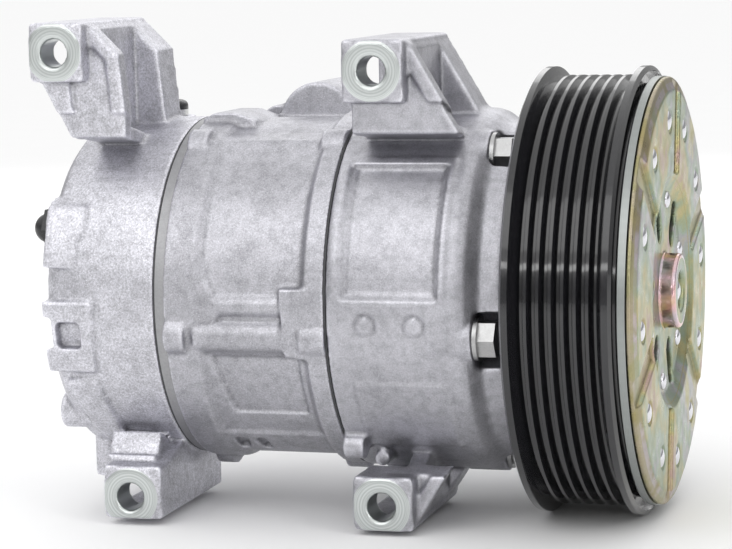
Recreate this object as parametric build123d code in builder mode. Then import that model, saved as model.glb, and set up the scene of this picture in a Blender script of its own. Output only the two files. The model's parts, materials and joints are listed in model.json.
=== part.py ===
"""Automotive air-conditioning compressor: a swash-plate pump with a clutch pulley, in millimetres.

X is the shaft axis and points out through the pulley, Z is up, and the four mounting ears are bored
along Y. The origin is on the shaft axis, in the middle plane of the belt grooves.
"""
import os
from math import asin, cos, pi, radians, sin

from build123d import *

os.makedirs("parts", exist_ok=True)

# ---- belt and pulley ----
groove_pitch = 3.56
groove_count = 7
crest_radius = 65.0
flange_radius = 67.6
groove_depth = 3.0
pulley_half_width = 16.0
rim_inner_radius = 58.6
friction_face_x = 16.3

# ---- castings, along the shaft ----
front_face_x = -19.0
shoulder_x = -27.0
joint_x = -70.6
joint_gasket = 0.6
block_rear_x = -121.4
reed_plate = 0.5
valve_plate_thickness = 2.4
head_gasket_thickness = 0.5
head_end_x = -161.0
body_radius = 55.2
block_radius = 52.4
head_radius = 53.0

# ---- cylinders and bolts ----
cylinder_count = 5
cylinder_ring = 32.0
cylinder_bore = 15.5
bolt_ring = 48.5
bolt_radius = 3.0
first_bolt_angle = -10.0
first_cylinder_angle = first_bolt_angle + 180 / cylinder_count
crankcase_radius = 47.9
crankcase_front_x = -30.0
crankcase_rear_x = -79.0

# ---- shaft and swash plate ----
shaft_radius = 8.0
spline_radius = 6.5
plate_x = -62.0
plate_radius = 41.5
plate_half = 3.5
plate_hole = 9.7
full_tilt = 15.0
shoe_ball = 9.5
pocket_ball = 10.75
running_gap = 0.05

# ---- nose, bearing and coil ----
nose_radius = 17.5
nose_end_x = 11.5
bearing_outer = 27.5
bearing_x = (-10.0, 8.0)

# ---- clutch ----
armature_gap = 0.5
armature_radius = 64.5
armature_inner = 38.5
armature_thickness = 2.7
hub_back_x = 19.6
hub_face_x = 22.4
hub_rim_radius = 64.3
hub_face_radius = 60.2
hub_turn = 9.7
nose_boss_radius = 11.3
nose_boss_end_x = 24.6

# ---- mounting ears ----
ear_near_y = -50.3
ear_far_y = 3.5
web_near_y = -44.0
lug_thickness = 11.2
ear_corner = 1.2
seat_radius = 9.0
seat_rise = 0.8
bolt_hole_radius = 4.25

valve_front_x = block_rear_x - reed_plate
valve_rear_x = valve_front_x - valve_plate_thickness
head_front_x = valve_rear_x - head_gasket_thickness
block_front_x = joint_x - joint_gasket


# ---- helpers: each works on the part or sketch that is open where it is called ----
def on_ring(radius, angle):
    """Y and Z on a ring about the shaft; the angle starts at the near side (-Y) and rises to +Z."""
    return (-radius * cos(radians(angle)), radius * sin(radians(angle)))


def bolt_angles():
    return [first_bolt_angle + 360 * i / cylinder_count for i in range(cylinder_count)]


def cylinder_angles():
    return [first_cylinder_angle + 360 * i / cylinder_count for i in range(cylinder_count)]


def turned(*outline, mode=Mode.ADD):
    """Turn a closed outline of (x, radius) corners about the shaft axis."""
    with BuildSketch(Plane.XZ) as profile:
        with BuildLine():
            Polyline(*outline, close=True)
        make_face()
    revolve(profile.sketch, axis=Axis.X, mode=mode)


def bars(x_from, x_to, radius, centres, mode=Mode.ADD):
    """Round bars along X at a list of (y, z) centres."""
    with BuildSketch(Plane.YZ.offset(x_from)) as profile:
        with Locations(*centres):
            Circle(radius)
    extrude(profile.sketch, amount=x_to - x_from, mode=mode)


def ring_points(radius, angles):
    return [on_ring(radius, angle) for angle in angles]


def block_box(x, y, z, mode=Mode.ADD):
    """A box from three (low, high) pairs."""
    size = [high - low for low, high in (x, y, z)]
    centre = [(high + low) / 2 for low, high in (x, y, z)]
    with Locations(tuple(centre)):
        Box(*size, mode=mode)


def side_profile(points, near, far, mode=Mode.ADD):
    """Extrude a closed (x, z) outline along Y, from near to far."""
    with BuildSketch(Plane.XZ.offset(-near)) as profile:
        with BuildLine():
            Polyline(*points, close=True)
        make_face()
    extrude(profile.sketch, amount=near - far, mode=mode)


def end_profile(points, x_from, x_to, mode=Mode.ADD):
    """Extrude a closed (y, z) outline along X."""
    with BuildSketch(Plane.YZ.offset(x_from)) as profile:
        with BuildLine():
            Polyline(*points, close=True)
        make_face()
    extrude(profile.sketch, amount=x_to - x_from, mode=mode)


def cross_bar(x, z, radius, near, far, mode=Mode.ADD):
    """A round bar along Y."""
    with BuildSketch(Plane.XZ.offset(-near)) as profile:
        with Locations((x, z)):
            Circle(radius)
    extrude(profile.sketch, amount=near - far, mode=mode)


def ear_boss(centre, low_x, high_x, low_z, high_z, far):
    """The square boss that carries a mounting bolt across; its corners lie lower than its round seat."""
    width, height = high_x - low_x, high_z - low_z
    middle = ((low_x + high_x) / 2, (low_z + high_z) / 2)
    with BuildSketch(Plane.XZ.offset(-ear_near_y)) as profile:
        with Locations(middle):
            RectangleRounded(width, height, ear_corner)
    extrude(profile.sketch, amount=ear_near_y - far)
    with BuildSketch(Plane.XZ.offset(-ear_near_y)) as corners:
        with Locations(middle):
            Rectangle(width + 2, height + 2)
        with Locations(centre):
            Circle(seat_radius, mode=Mode.SUBTRACT)
    extrude(corners.sketch, amount=-seat_rise, mode=Mode.SUBTRACT)


def round_patch(outline, inner, outer, mode=Mode.ADD):
    """A pad or a recess on the near side: an (x, z) outline that follows the round of the casting."""
    low = min(x for x, z in outline) - 1
    high = max(x for x, z in outline) + 1
    with BuildPart(mode=Mode.PRIVATE) as patch:
        side_profile(outline, -outer - 5, -10)
        turned((low, inner), (low, outer), (high, outer), (high, inner), mode=Mode.INTERSECT)
    add(patch.part, mode=mode)


def finish(part, name):
    part.label = name
    export_step(part, f"parts/{name}.step")


# ---- front housing: crankcase cover, nose and the two front ears ----
front_top = (-56.6, 69.2)
front_bottom = (-56.4, -59.0)
rear_top = (-155.2, 75.35)
rear_bottom = (-135.5, -58.9)
rear_bottom_far_y = ear_far_y + 1.4
rim_rise = 1.4
lug_back_y = ear_near_y + lug_thickness
far_lug_y = -11.0
neck_radius = 50.6
bolt_seat_boss = 7.4
front_outline = [(joint_x, 0), (joint_x, body_radius), (shoulder_x - 5.0, body_radius),
                 (shoulder_x - 2.5, 54.4), (shoulder_x + 1.5, 51.4), (front_face_x, neck_radius),
                 (front_face_x, nose_radius), (nose_end_x, nose_radius), (nose_end_x, 0)]

with BuildPart() as front_housing:
    # upper ear: square boss, triangular web and the arm that leans out of the body
    ear_boss(front_top, -65.7, -47.2, 59.8, 78.3, ear_far_y)
    side_profile([(-63.0, 76.0), (-46.8, 76.3), (-33.2, 53.1), (-30.8, 49.0), (-30.8, 20),
                  (-63.0, 20)], web_near_y, ear_far_y)
    side_profile([(-47.4, 76.8), (-46.3, 76.8), (-32.6, 53.1), (-37.0, 53.1), (-47.4, 70.5)],
                 web_near_y - rim_rise, web_near_y + 4)
    # lower ear
    ear_boss(front_bottom, -65.1, -46.9, -66.2, -50.0, ear_far_y)
    side_profile([(-46.9, -64.0), (-45.6, -62.6), (-34.7, -45.0), (-38.8, -45.0), (-46.9, -57.0)],
                 web_near_y - rim_rise, web_near_y + 4)
    side_profile([(-63.0, -20), (-29.0, -20), (-29.0, -42.2), (-35.0, -45.4), (-45.9, -62.2),
                  (-48.0, -64.5), (-63.0, -64.5)], web_near_y, ear_far_y)
    # undersides slope back to the body
    end_profile([(-60, 20), (-60, 59.9), (web_near_y, 59.9), (-26, 48.5), (-26, 20)], -80, -28,
                mode=Mode.SUBTRACT)
    end_profile([(-60, -20), (-60, -50.0), (web_near_y, -50.0), (-31, -45.5), (-31, -20)], -80, -28,
                mode=Mode.SUBTRACT)
    # hollow between the two lugs, open to the rear
    block_box((-80, -51.4), (lug_back_y, far_lug_y), (30, 74.1), mode=Mode.SUBTRACT)
    block_box((-80, -51.1), (lug_back_y, far_lug_y), (-63.6, -30), mode=Mode.SUBTRACT)
    # shallow hollow between the web plates, open to the front
    block_box((-46.2, -10), (web_near_y + 6, far_lug_y), (40, 90), mode=Mode.SUBTRACT)
    block_box((-45.9, -10), (web_near_y + 6, far_lug_y), (-90, -40), mode=Mode.SUBTRACT)
    turned(*front_outline)
    # seat for each bolt head, the tab and button at the lower joint, and a low step
    bars(-40.0, shoulder_x, bolt_seat_boss, ring_points(bolt_ring, bolt_angles()))
    bars(joint_x, -64.0, 4.0, [(-37.5, -43.0)])
    cross_bar(-60.5, -47.5, 2.4, -34.0, -25.0)
    round_patch([(-63.0, -22.0), (-36.5, -22.0), (-34.8, -25.0), (-34.8, -43.0), (-63.0, -43.0)],
                54.0, body_radius + 0.6)
    # framed panel and two round marks on the near side
    round_patch([(-69.0, 1.2), (-34.8, 1.2), (-34.8, 43.2), (-69.0, 43.2)], 54.0, body_radius + 0.5)
    round_patch([(-66.8, 3.2), (-36.6, 3.2), (-36.6, 41.4), (-66.8, 41.4)], body_radius - 0.7,
                body_radius + 2, mode=Mode.SUBTRACT)
    round_patch([(-65.0, 4.4), (-37.8, 4.4), (-37.8, 40.2), (-65.0, 40.2)], body_radius - 1.4,
                body_radius, mode=Mode.SUBTRACT)
    for x in (-59.1, -44.4):
        cross_bar(x, -4.6, 3.8, -body_radius - 1, -54.0, mode=Mode.SUBTRACT)
        cross_bar(x, -4.6, 2.2, -54.9, -53.0)
    # crankcase, with a boss round each through bolt
    turned((joint_x, 0), (joint_x, crankcase_radius), (crankcase_front_x, crankcase_radius),
           (crankcase_front_x, 0), mode=Mode.SUBTRACT)
    bars(joint_x, shoulder_x, 5.6, ring_points(bolt_ring, bolt_angles()))
    bars(joint_x, front_face_x, bolt_radius + 0.3, ring_points(bolt_ring, bolt_angles()),
         mode=Mode.SUBTRACT)
    bars(shoulder_x, front_face_x, 8.4, ring_points(bolt_ring + 1.0, bolt_angles()), mode=Mode.SUBTRACT)
    # nose bore: front bearing, lip seal and its ring
    turned((-31, 0), (-31, 12), (-15.5, 12), (-15.5, 10), (1.8, 10), (1.8, 13), (8.2, 13), (8.2, 13.6),
           (9.8, 13.6), (9.8, 13), (nose_end_x + 1, 13), (nose_end_x + 1, 0), mode=Mode.SUBTRACT)
    turned((8.2, nose_radius + 1), (8.2, 16.7), (9.8, 16.7), (9.8, nose_radius + 1), mode=Mode.SUBTRACT)
    for x, z in (front_top, front_bottom):
        cross_bar(x, z, bolt_hole_radius, ear_near_y - 1, ear_far_y + 1, mode=Mode.SUBTRACT)
finish(front_housing.part, "front_housing")

# ---- cylinder block ----
port_near_y = 10.0
port_face_y = 47.0
suction_port = (-91.8, 50.5)
suction_radius = 8.0
discharge_port = (-110.0, 37.5)
discharge_radius = 6.0
port_screw = (-106.0, 49.0)
port_screw_radius = 3.4
suction_depth = 14.0
discharge_depth = 9.0
port_screw_depth = 12.0

with BuildPart() as cylinder_block:
    turned(
        (block_rear_x, 0), (block_rear_x, 54.0), (-111.5, 54.0), (-109.5, block_radius),
        (-79.0, block_radius), (-77.0, body_radius - 0.4), (block_front_x, body_radius - 0.4),
        (block_front_x, 0),
    )
    # a lug at each end for every bolt, and the long channel of the bolt on the near side
    for angle in bolt_angles():
        y, z = on_ring(bolt_ring + 2.0, angle)
        for x_from, x_to in ((block_rear_x, -115.0), (-79.0, block_front_x)):
            bars(x_from, x_to, 6.0, [(y, z)])
    bars(-112.3, -80.0, 5.2, [on_ring(50.2, first_bolt_angle)])
    bars(-105.5, -82.0, 3.5, [on_ring(50.6, 0.5)])
    round_patch([(-85.0, 6.0), (-76.0, 6.0), (-76.0, -15.2), (-84.0, -15.2)], 50.0, 55.0)
    round_patch([(-108.5, -14.7), (-80.5, -14.7), (-80.5, -33.5), (-104.0, -33.5)], 51.3, 56.0,
                mode=Mode.SUBTRACT)
    # rear flange widens into a wedge beside the bolt channel
    round_patch([(-113, 12.0), (-109.5, 12.0), (-104.5, -2.0), (-107.5, -6.0), (-109.5, -13.5),
                 (-113, -13.5)], 50.0, 53.6)
    # upper deck: an edge line with a flatter facet above it, and a low hump over the rear flange
    end_profile([(-31.5, 42.0), (-26.6, 47.4), (0, 52.9), (0, 46), (-26, 40)], -117.0, -75.0)
    side_profile([(block_rear_x, 48), (block_rear_x, 53.2), (-117.5, 55), (-110.5, 55), (-104.5, 52.8), (-103, 48)],
                 -14.0, 10.0)
    # lower rib with its two pockets
    round_patch([(-112, -41.0), (-78, -41.0), (-78, -48.5), (-112, -48.5)], 50.0, 53.4)
    round_patch([(-108.5, -43.0), (-103.5, -43.0), (-105.5, -47.5), (-108.5, -47.5)], 51.6, 56.0,
                mode=Mode.SUBTRACT)
    round_patch([(-102.0, -43.0), (-98.0, -43.0), (-98.0, -47.5), (-100.5, -47.5)], 51.6, 56.0,
                mode=Mode.SUBTRACT)
    # suction and discharge ports open to the far side
    cross_bar(*suction_port, suction_radius + 4.5, port_near_y, port_face_y)
    cross_bar(*discharge_port, discharge_radius + 4.5, port_near_y, port_face_y)
    cross_bar(*port_screw, port_screw_radius + 3.2, port_near_y + 4, port_face_y)
    side_profile([(-92, 61.5), (-107, 55.2), (-120, 42), (-113, 27.5), (-86, 39.5)], port_near_y + 6,
                 port_face_y)
    turned((block_rear_x, 0), (block_rear_x, block_radius - 2), (block_front_x, block_radius - 2),
           (block_front_x, 0))
    # cylinders, crankcase and shaft bore
    bars(block_rear_x, crankcase_rear_x, cylinder_bore, ring_points(cylinder_ring, cylinder_angles()),
         mode=Mode.SUBTRACT)
    turned((crankcase_rear_x, 0), (crankcase_rear_x, crankcase_radius), (block_front_x, crankcase_radius),
           (block_front_x, 0), mode=Mode.SUBTRACT)
    bars(crankcase_rear_x, block_front_x, 5.5, ring_points(bolt_ring, bolt_angles()))
    turned((block_rear_x, 0), (block_rear_x, 12), (-97.5, 12), (-97.5, 9.5), (-90, 9.5), (-90, 13),
           (-78, 13), (-78, 0),
           mode=Mode.SUBTRACT)
    bars(block_rear_x, block_front_x, bolt_radius + 0.3, ring_points(bolt_ring, bolt_angles()),
         mode=Mode.SUBTRACT)
    for centre, radius, depth in ((suction_port, suction_radius, suction_depth),
                                  (discharge_port, discharge_radius, discharge_depth),
                                  (port_screw, port_screw_radius, port_screw_depth)):
        cross_bar(*centre, radius, port_face_y - depth, port_face_y + 1, mode=Mode.SUBTRACT)
finish(cylinder_block.part, "cylinder_block")

# ---- rear head ----
valve_axis = (-147.0, 20.0)
valve_tower_z = 52.0
relief_centre = (-38.0, 21.5)
drain_boss = (-154.5, -17.0)

with BuildPart() as rear_head:
    # upper ear
    ear_boss(rear_top, -163.2, -146.2, 66.6, 84.4, ear_far_y)
    side_profile([(-161.4, 82.5), (-145.2, 82.5), (-137.1, 74.4), (-134.5, 48.9), (-131.0, 44.0),
                  (-131.0, 20), (-151.7, 20), (-151.7, 48.0), (-161.4, 65.7)], web_near_y, ear_far_y)
    side_profile([(-146.6, 83.0), (-144.9, 83.0), (-136.4, 74.6), (-133.9, 48.9), (-138.4, 48.9),
                  (-140.6, 72.8), (-146.6, 78.8)], web_near_y - rim_rise, web_near_y + 4)
    side_profile([(-161.6, 67.0), (-152.5, 67.0), (-151.8, 58.4), (-147.8, 53.9), (-147.3, 49.0),
                  (-152.3, 49.0)], web_near_y - rim_rise - 0.6, web_near_y + 4)
    # lower ear
    ear_boss(rear_bottom, -144.1, -125.6, -65.7, -49.4, rear_bottom_far_y)
    side_profile([(-142.9, -20), (-125.6, -20), (-125.6, -64.0), (-142.9, -64.0)],
                 web_near_y, rear_bottom_far_y)
    # undersides slope back to the body
    end_profile([(-60, 20), (-60, 57.0), (web_near_y, 57.0), (-24, 47.5), (-24, 20)], -170, -126,
                mode=Mode.SUBTRACT)
    end_profile([(-60, -20), (-60, -49.4), (web_near_y, -49.4), (-28, -45.5), (-28, -20)], -170, -115,
                mode=Mode.SUBTRACT)
    # hollow between the two lugs, open to the rear
    block_box((-180, -149.7), (lug_back_y, far_lug_y), (30, 80.2), mode=Mode.SUBTRACT)
    block_box((-180, -129.8), (lug_back_y, far_lug_y), (-63.4, -30), mode=Mode.SUBTRACT)
    # shallow hollow between the web plates, open to the front
    block_box((-144.9, -120), (web_near_y + 6, far_lug_y), (40, 90), mode=Mode.SUBTRACT)
    turned((head_front_x, 0), (head_front_x, head_radius), (-150.0, 52.4), (-158.0, 51.0),
           (head_end_x, 47.5), (head_end_x, 0))
    # pads, a bracket edge and a bulge on the near side of the end
    round_patch([(-160.5, 29.0), (-148.5, 29.0), (-148.5, 21.5), (-150.5, 19.5), (-150.5, 11.0),
                 (-160.5, 11.0)], 46.0, head_radius + 0.4)
    round_patch([(-160.5, 1.0), (-144.8, 1.0), (-145.6, -21.0), (-160.5, -21.0)], 46.0,
                head_radius + 0.9)
    round_patch([(-156.5, -5.5), (-149.0, -5.5), (-149.0, -13.5), (-156.5, -13.5)], 50.0,
                head_radius + 3, mode=Mode.SUBTRACT)
    round_patch([(-162.0, -4.0), (-158.0, -4.0), (-158.0, -14.0), (-162.0, -14.0)], 42.0,
                head_radius + 3, mode=Mode.SUBTRACT)
    round_patch([(-156.0, -24.0), (-146.5, -24.0), (-143.2, -40.5), (-143.8, -46.5), (-151.0, -46.5)],
                48.0, head_radius + 0.5)
    bars(-163.5, -150.0, 5.6, [(-30.5, -36.0)])
    bars(-162.0, -150.0, 4.4, [(-40.0, 6.0)])
    # relief valve boss, the control valve's tower and the low boss
    with BuildSketch(Plane.YZ.offset(head_end_x)):
        with Locations(relief_centre):
            Circle(9.5)
    extrude(amount=12.0)
    with BuildSketch(Plane.XY.offset(20)):
        with Locations(valve_axis):
            Circle(10.0)
    extrude(amount=valve_tower_z - 20)
    with BuildSketch(Plane.XY.offset(-58.8)):
        with Locations(drain_boss):
            Circle(5.0)
    extrude(amount=16.0)
    # chambers, tapped holes and bores
    turned((head_front_x, 0), (head_front_x, 26.5), (-138, 25.5), (-138, 0), mode=Mode.SUBTRACT)
    turned((head_front_x, 30), (head_front_x, 42.5), (-137, 41.5), (-137, 31), mode=Mode.SUBTRACT)
    bars(-141.0, head_front_x, bolt_radius, ring_points(bolt_ring, bolt_angles()), mode=Mode.SUBTRACT)
    with BuildSketch(Plane.XY.offset(60)):
        with Locations(valve_axis):
            Circle(7.2)
    extrude(amount=-36.0, mode=Mode.SUBTRACT)
    bars(head_end_x, head_end_x + 14, 5.0, [relief_centre], mode=Mode.SUBTRACT)
    cross_bar(*rear_top, bolt_hole_radius, ear_near_y - 1, ear_far_y + 1, mode=Mode.SUBTRACT)
    cross_bar(*rear_bottom, bolt_hole_radius, ear_near_y - 1, ear_far_y + 3, mode=Mode.SUBTRACT)
finish(rear_head.part, "rear_head")

# ---- plates and gaskets between the castings ----
discharge_ring = 22.0
suction_ring = 39.5
bore_points = ring_points(bolt_ring, bolt_angles())
discharge_points = ring_points(discharge_ring, cylinder_angles())
suction_points = ring_points(suction_ring, cylinder_angles())

with BuildPart() as valve_plate:
    turned((valve_rear_x, 2.5), (valve_rear_x, head_radius), (valve_front_x, head_radius),
           (valve_front_x, 2.5))
    bars(valve_rear_x, valve_front_x, bolt_radius + 0.3, bore_points, mode=Mode.SUBTRACT)
    bars(valve_rear_x, valve_front_x, 3.2, discharge_points, mode=Mode.SUBTRACT)
    bars(valve_rear_x, valve_front_x, 4.4, suction_points, mode=Mode.SUBTRACT)
finish(valve_plate.part, "valve_plate")

with BuildPart() as suction_reed_plate:
    turned((valve_front_x, 2.5), (valve_front_x, head_radius), (block_rear_x, head_radius),
           (block_rear_x, 2.5))
    bars(valve_front_x, block_rear_x, bolt_radius + 0.3, bore_points, mode=Mode.SUBTRACT)
    bars(valve_front_x, block_rear_x, 4.0, discharge_points, mode=Mode.SUBTRACT)
    # each reed is a tongue that two slots cut free over its suction port
    for angle in cylinder_angles():
        for side in (-7, 7):
            bars(valve_front_x, block_rear_x, 1.2,
                 [on_ring(radius, angle + side * 32 / radius) for radius in (30, 32, 34, 36, 38)],
                 mode=Mode.SUBTRACT)
finish(suction_reed_plate.part, "suction_reed_plate")

with BuildPart() as head_gasket:
    turned((head_front_x, 26.5), (head_front_x, head_radius), (valve_rear_x, head_radius),
           (valve_rear_x, 26.5))
    bars(head_front_x, valve_rear_x, bolt_radius + 0.3, bore_points, mode=Mode.SUBTRACT)
    bars(head_front_x, valve_rear_x, 5.2, suction_points, mode=Mode.SUBTRACT)
finish(head_gasket.part, "head_gasket")

with BuildPart() as housing_gasket:
    turned((block_front_x, crankcase_radius), (block_front_x, body_radius - 0.4),
           (joint_x, body_radius - 0.4), (joint_x, crankcase_radius))
    bars(block_front_x, joint_x, 5.5, bore_points)
    bars(block_front_x, joint_x, bolt_radius + 0.3, bore_points, mode=Mode.SUBTRACT)
finish(housing_gasket.part, "housing_gasket")


def star(x_from, x_to, hub, finger_half, reach):
    """A centre disc with one finger over each discharge port."""
    bars(x_from, x_to, hub, [(0, 0)])
    for angle in cylinder_angles():
        bars(x_from, x_to, finger_half, [on_ring(reach - finger_half, angle)])
        inner = [on_ring(4, angle - 60), on_ring(4, angle + 60)]
        outer = [on_ring(reach - finger_half, angle + 14), on_ring(reach - finger_half, angle - 14)]
        end_profile(inner + outer, x_from, x_to)
    bars(x_from, x_to, 2.5, [(0, 0)], mode=Mode.SUBTRACT)


reed_thickness = 0.4
retainer_thickness = 1.6
with BuildPart() as discharge_reeds:
    star(valve_rear_x - reed_thickness, valve_rear_x, 9.0, 4.2, 25.8)
finish(discharge_reeds.part, "discharge_reeds")

retainer_x = valve_rear_x - reed_thickness - retainer_thickness
with BuildPart() as reed_retainer:
    star(retainer_x, retainer_x + retainer_thickness, 9.5, 3.8, 25.0)
finish(reed_retainer.part, "reed_retainer")

with BuildPart() as reed_screw:
    bars(retainer_x, block_rear_x, 2.5, [(0, 0)])
    with BuildSketch(Plane.YZ.offset(retainer_x)):
        RegularPolygon(4.6, 6)
    extrude(amount=-3.6)
    bars(block_rear_x, block_rear_x + 2.0, 4.0, [(0, 0)])
finish(reed_screw.part, "reed_screw")

# ---- fasteners and small sealed fittings ----
bolt_seat_x = shoulder_x
bolt_end_x = -139.0
with BuildPart() as through_bolts:
    for y, z in bore_points:
        bars(bolt_end_x, bolt_seat_x, bolt_radius, [(y, z)])
        bars(bolt_seat_x, bolt_seat_x + 1.2, 6.6, [(y, z)])
        with BuildSketch(Plane.YZ.offset(bolt_seat_x + 1.2)):
            with Locations((y, z)):
                RegularPolygon(5.7, 6)
        extrude(amount=5.0)
finish(through_bolts.part, "through_bolts")

with BuildPart() as relief_valve:
    bars(head_end_x, head_end_x + 14, 5.0, [relief_centre])
    with BuildSketch(Plane.YZ.offset(head_end_x)):
        with Locations(relief_centre):
            RegularPolygon(6.9, 6)
    extrude(amount=-2.6)
    with Locations((head_end_x - 2.6, *relief_centre)):
        Sphere(4.6)
finish(relief_valve.part, "relief_valve")

with BuildPart() as control_valve:
    with BuildSketch(Plane.XY.offset(24.0)):
        with Locations(valve_axis):
            Circle(7.0)
    extrude(amount=valve_tower_z - 24.0)
    with BuildSketch(Plane.XY.offset(valve_tower_z)):
        with Locations(valve_axis):
            Circle(7.6)
    extrude(amount=2.0)
finish(control_valve.part, "control_valve")

with BuildPart() as valve_connector:
    with BuildSketch(Plane.XY.offset(valve_tower_z + 2.0)):
        with Locations(valve_axis):
            Circle(7.6)
    extrude(amount=3.0)
    fillet(valve_connector.faces().sort_by(Axis.Z)[-1].edges(), 2.0)
finish(valve_connector.part, "valve_connector")

# ---- shaft bearings, seal and preload ----
needle_clearance = 0.05
needle_radius = 1.25
shell_outer = 12.0
shell_inner = shaft_radius + needle_clearance + 2 * needle_radius


def needle_bearing(x_from, x_to):
    """A drawn cup with its needles, as separate solids."""
    count = 16
    turned((x_from, shell_inner), (x_from, shell_outer), (x_to, shell_outer), (x_to, shell_inner))
    ring = shaft_radius + needle_clearance + needle_radius
    bars(x_from + 0.5, x_to - 0.5, needle_radius,
         [on_ring(ring, 360 * i / count) for i in range(count)])


with BuildPart() as front_shaft_bearing:
    needle_bearing(-29.5, -16.0)
finish(front_shaft_bearing.part, "front_shaft_bearing")

with BuildPart() as rear_shaft_bearing:
    needle_bearing(-111.5, -98.0)
finish(rear_shaft_bearing.part, "rear_shaft_bearing")

thrust_washer = 1.0
thrust_needle = 0.95
with BuildPart() as front_thrust_bearing:
    turned((crankcase_front_x - thrust_washer, 10.4), (crankcase_front_x - thrust_washer, 21),
           (crankcase_front_x, 21), (crankcase_front_x, 10.4))
    for i in range(18):
        y, z = on_ring(1, 20 * i)
        foot = (crankcase_front_x - thrust_washer - thrust_needle, 12 * y, 12 * z)
        with Locations(Plane(origin=foot, x_dir=(1, 0, 0), z_dir=(0, y, z))):
            Cylinder(thrust_needle, 7.0, align=(Align.CENTER, Align.CENTER, Align.MIN))
finish(front_thrust_bearing.part, "front_thrust_bearing")

with BuildPart() as rear_thrust_race:
    turned((-115.0, 3.0), (-115.0, 11.8), (-112.6, 11.8), (-112.6, 3.0))
finish(rear_thrust_race.part, "rear_thrust_race")

with BuildPart() as preload_spring:
    turned((-119.0, 10.6), (-119.0, 11.8), (-118.2, 11.8), (-115.0, 7.0), (-115.0, 5.8), (-115.8, 5.8))
finish(preload_spring.part, "preload_spring")

with BuildPart() as shaft_seal:
    turned((2.0, 10.5), (2.0, 13.0), (8.0, 13.0), (8.0, 11.0), (4.0, 11.0), (6.2, 8.7), (6.2, 8.05),
           (5.4, 8.05), (3.2, 10.5))
finish(shaft_seal.part, "shaft_seal")


def split_ring(x_from, x_to, inner, outer, gap_angle):
    """A snap ring with its gap."""
    turned((x_from, inner), (x_from, outer), (x_to, outer), (x_to, inner))
    y, z = on_ring((inner + outer) / 2, gap_angle)
    block_box((x_from, x_to), (y - 2.5, y + 2.5), (z - 2.5, z + 2.5), mode=Mode.SUBTRACT)


with BuildPart() as seal_snap_ring:
    split_ring(8.4, 9.6, 10.6, 13.5, 90)
finish(seal_snap_ring.part, "seal_snap_ring")

with BuildPart() as bearing_snap_ring:
    split_ring(8.4, 9.6, 16.8, 20.0, -90)
finish(bearing_snap_ring.part, "bearing_snap_ring")

# ---- field coil: a steel cup bolted behind the pulley, with its winding ----
coil_inner = 33.2
coil_outer = 56.4
coil_front_x = 3.0
with BuildPart() as coil_shell:
    turned((front_face_x, nose_radius + 0.6), (front_face_x, 52.0), (front_face_x + 1.6, 52.0),
           (front_face_x + 1.6, coil_outer), (coil_front_x, coil_outer), (coil_front_x, coil_outer - 3.2),
           (-13.0, coil_outer - 3.2), (-13.0, coil_inner + 3.2), (coil_front_x, coil_inner + 3.2),
           (coil_front_x, coil_inner), (-15.5, coil_inner), (-15.5, nose_radius + 0.6))
finish(coil_shell.part, "coil_shell")

with BuildPart() as coil_winding:
    turned((-13.0, coil_inner + 3.2), (-13.0, coil_outer - 3.2), (coil_front_x - 0.8, coil_outer - 3.2),
           (coil_front_x - 0.8, coil_inner + 3.2))
finish(coil_winding.part, "coil_winding")

with BuildPart() as coil_snap_ring:
    split_ring(-15.5, -14.2, nose_radius, 21.0, 30)
finish(coil_snap_ring.part, "coil_snap_ring")

# ---- pulley and its double-row ball bearing ----
race_shoulder = 20.6
outer_shoulder = 24.6
ball_radius = 2.6
ball_ring = (nose_radius + bearing_outer) / 2
row_x = (-5.4, 3.4)

with BuildPart() as bearing_inner_race:
    turned((bearing_x[0], nose_radius), (bearing_x[0], race_shoulder), (bearing_x[1], race_shoulder),
           (bearing_x[1], nose_radius))
    for x in row_x:
        with BuildSketch(Plane.XZ):
            with Locations((x, ball_ring)):
                Circle(ball_radius + running_gap)
        revolve(axis=Axis.X, mode=Mode.SUBTRACT)
finish(bearing_inner_race.part, "bearing_inner_race")

with BuildPart() as bearing_outer_race:
    turned((bearing_x[0], outer_shoulder), (bearing_x[0], bearing_outer), (bearing_x[1], bearing_outer),
           (bearing_x[1], outer_shoulder))
    for x in row_x:
        with BuildSketch(Plane.XZ):
            with Locations((x, ball_ring)):
                Circle(ball_radius + running_gap)
        revolve(axis=Axis.X, mode=Mode.SUBTRACT)
finish(bearing_outer_race.part, "bearing_outer_race")

balls_per_row = 20
with BuildPart() as bearing_balls:
    for x in row_x:
        for i in range(balls_per_row):
            with Locations((x, *on_ring(ball_ring, 360 * i / balls_per_row))):
                Sphere(ball_radius)
finish(bearing_balls.part, "bearing_balls")

with BuildPart() as bearing_seals:
    for x in (bearing_x[0] + 0.2, bearing_x[1] - 1.0):
        turned((x, race_shoulder + 0.1), (x, outer_shoulder), (x + 0.8, outer_shoulder),
               (x + 0.8, race_shoulder + 0.1))
finish(bearing_seals.part, "bearing_seals")

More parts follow.
